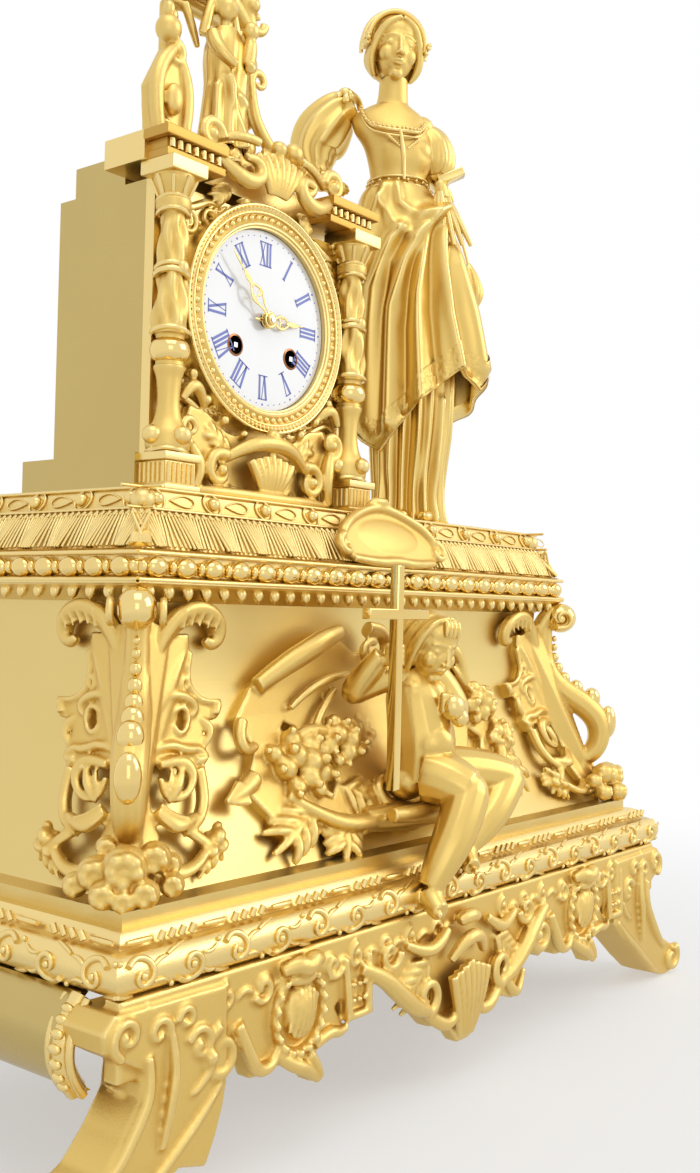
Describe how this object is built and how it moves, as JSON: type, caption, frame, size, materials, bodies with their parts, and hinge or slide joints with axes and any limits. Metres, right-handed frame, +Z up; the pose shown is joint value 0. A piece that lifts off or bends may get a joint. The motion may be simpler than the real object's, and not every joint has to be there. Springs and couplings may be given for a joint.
{
  "type": "figural clock",
  "caption": "Gilt figural mantel clock with scroll feet, tapered base, columned case with round enamel dial, standing lady, seated child and small shrine; striking movement with pendulum.",
  "frame": {"origin": "middle of the clock's width and depth, on the surface the feet stand on", "axes": "+Z up, -Y towards the dial's front, +X to the right seen from the front"},
  "size_m": [0.5242, 0.2026, 0.6383],
  "materials": {
    "matte_gilding": "matte fire gilding over chased bronze",
    "burnished_gilding": "burnished gilding",
    "satin_gilding": "satin brushed gilding on plain plates",
    "movement_brass": "polished movement brass",
    "movement_steel": "polished steel arbors",
    "enamel": "white vitreous enamel",
    "copper_eyelet": "dark copper eyelet",
    "bell_metal": "bell bronze"
  },
  "bodies": {
    "clock_case": {"apron_front": "matte_gilding", "base_back_panel": "satin_gilding", "base_body": "satin_gilding", "base_plate": "satin_gilding", "bell": "bell_metal", "bezel": "matte_gilding", "case_box": "satin_gilding", "case_front": "matte_gilding", "case_plinth": "satin_gilding", "case_top_block": "satin_gilding", "child_figure": "matte_gilding", "column_left": "matte_gilding", "column_right": "matte_gilding", "corner_mount_left": "matte_gilding", "corner_mount_right": "matte_gilding", "cornice": "matte_gilding", "cross_staff": "burnished_gilding", "dial": "enamel", "entablature": "matte_gilding", "fixing_straps": "movement_brass", "fringe_tier": "matte_gilding", "front_cartouche": "matte_gilding", "lady_bodice": "matte_gilding", "lady_head": "matte_gilding", "lady_left_arm": "matte_gilding", "lady_overskirt": "matte_gilding", "lady_right_arm": "matte_gilding", "lady_skirt": "matte_gilding", "lower_scroll": "matte_gilding", "movement_back_plate": "movement_brass", "movement_front_plate": "movement_brass", "name_cartouche": "matte_gilding", "plinth_back_panel": "satin_gilding", "plinth_moulding": "matte_gilding", "rear_feet": "satin_gilding", "rear_ring": "satin_gilding", "shrine_base": "matte_gilding", "shrine_buttress": "matte_gilding", "shrine_frame": "matte_gilding", "shrine_scroll": "matte_gilding", "side_panels": "satin_gilding", "statuette": "matte_gilding", "suspension_cock": "movement_brass", "winding_eyelets": "copper_eyelet"},
    "minute_work": {"minute_hand": "burnished_gilding", "hand_collet": "burnished_gilding", "minute_arbor": "movement_steel"},
    "hour_work": {"hour_hand": "burnished_gilding", "hour_wheel": "movement_brass"},
    "motion_work": {"motion_wheel": "movement_brass"},
    "going_winder": {"going_winding_arbor": "movement_steel"},
    "strike_winder": {"strike_winding_arbor": "movement_steel"},
    "going_drum": {"going_barrel": "movement_brass"},
    "strike_drum": {"strike_barrel": "movement_brass"},
    "escape": {"escape_wheel": "movement_brass"},
    "anchor": {"anchor_crutch": "movement_steel"},
    "swinging_pendulum": {"pendulum": "movement_brass"},
    "hammer": {"bell_hammer": "movement_steel"},
    "counting": {"count_wheel": "movement_brass"},
    "door": {"rear_door": "satin_gilding"}
  },
  "joints": [
    {"name": "minute_hand_turn", "type": "hinge", "parent": "clock_case", "child": "minute_work", "pos_m": [-0.069, 0, 0.38], "axis": [0, 1, 0], "continuous": true},
    {"name": "hour_hand_turn", "type": "hinge", "parent": "clock_case", "child": "hour_work", "pos_m": [-0.069, 0, 0.38], "axis": [0, 1, 0], "continuous": true},
    {"name": "motion_wheel_turn", "type": "hinge", "parent": "clock_case", "child": "motion_work", "pos_m": [-0.063, 0, 0.39039], "axis": [0, 1, 0], "continuous": true},
    {"name": "going_winding", "type": "hinge", "parent": "clock_case", "child": "going_winder", "pos_m": [-0.0483, 0, 0.3641], "axis": [0, 1, 0], "range_deg": [0, 1800]},
    {"name": "strike_winding", "type": "hinge", "parent": "clock_case", "child": "strike_winder", "pos_m": [-0.0897, 0, 0.3641], "axis": [0, 1, 0], "range_deg": [0, 1800]},
    {"name": "going_barrel_turn", "type": "hinge", "parent": "clock_case", "child": "going_drum", "pos_m": [-0.0483, 0, 0.3641], "axis": [0, 1, 0], "continuous": true},
    {"name": "strike_barrel_turn", "type": "hinge", "parent": "clock_case", "child": "strike_drum", "pos_m": [-0.0897, 0, 0.3641], "axis": [0, 1, 0], "continuous": true},
    {"name": "escape_wheel_turn", "type": "hinge", "parent": "clock_case", "child": "escape", "pos_m": [-0.069, 0, 0.4], "axis": [0, 1, 0], "continuous": true},
    {"name": "pendulum_swing", "type": "hinge", "parent": "clock_case", "child": "swinging_pendulum", "pos_m": [-0.069, 0, 0.414], "axis": [0, 1, 0], "range_deg": [-4, 4]},
    {"name": "anchor_rock", "type": "hinge", "parent": "clock_case", "child": "anchor", "pos_m": [-0.069, 0, 0.414], "axis": [0, 1, 0], "range_deg": [-4, 4]},
    {"name": "hammer_lift", "type": "hinge", "parent": "clock_case", "child": "hammer", "pos_m": [-0.096, 0, 0.36], "axis": [0, 1, 0], "range_deg": [-18, 0], "stiffness_Nm_per_rad": 0.02, "springref_deg": 8.59},
    {"name": "count_wheel_turn", "type": "hinge", "parent": "clock_case", "child": "counting", "pos_m": [-0.089, 0, 0.394], "axis": [0, 1, 0], "continuous": true},
    {"name": "rear_door_hinge", "type": "hinge", "parent": "clock_case", "child": "door", "pos_m": [-0.1227, 0.0743, 0.38], "axis": [0, 0, 1], "range_deg": [0, 110]}
  ],
  "couplings": [
    {"joint": "hour_hand_turn", "follows": "minute_hand_turn", "ratio": 0.083333},
    {"joint": "motion_wheel_turn", "follows": "minute_hand_turn", "ratio": -0.33333},
    {"joint": "anchor_rock", "follows": "pendulum_swing", "ratio": 1}
  ]
}
